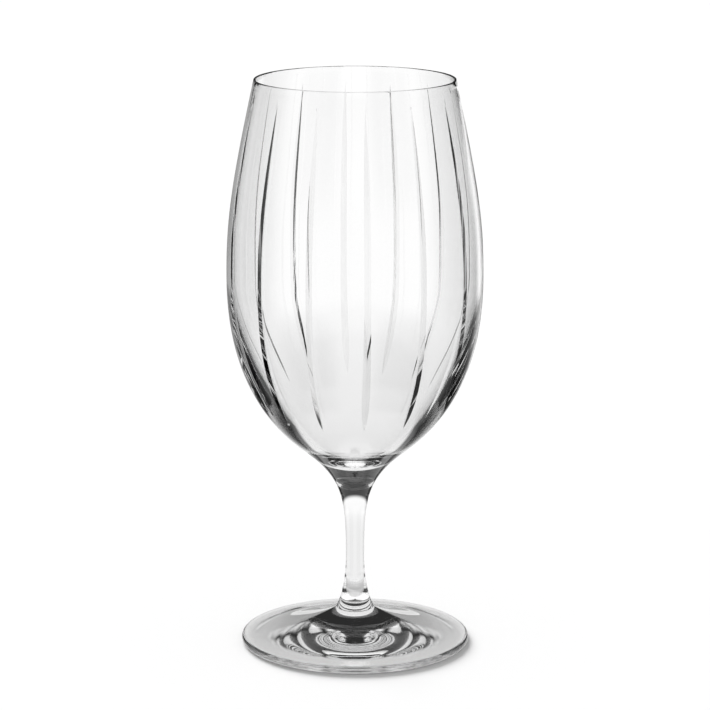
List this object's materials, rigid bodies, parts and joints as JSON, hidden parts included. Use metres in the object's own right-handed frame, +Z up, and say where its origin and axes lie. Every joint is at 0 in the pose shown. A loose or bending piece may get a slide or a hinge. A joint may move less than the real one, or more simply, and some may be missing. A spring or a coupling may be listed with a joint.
{
  "type": "stemmed water glass",
  "caption": "Tall stemmed water glass in clear cut crystal: a bellied bowl with long vertical mitre cuts, a slim flared stem and a flat spun foot, for drinking at table.",
  "frame": {"origin": "on the table, under the middle of the foot", "axes": "+Z up along the stem to the rim; the glass is round, so X and Y only say where its cuts are, and the front of the picture faces -Y"},
  "size_m": [0.0912, 0.091, 0.205],
  "materials": {
    "crystal": "clear crystal, fire polished all over, with ground and polished mitre cuts"
  },
  "bodies": {
    "root": {"foot": "crystal", "stem": "crystal", "bowl": "crystal"}
  },
  "joints": []
}
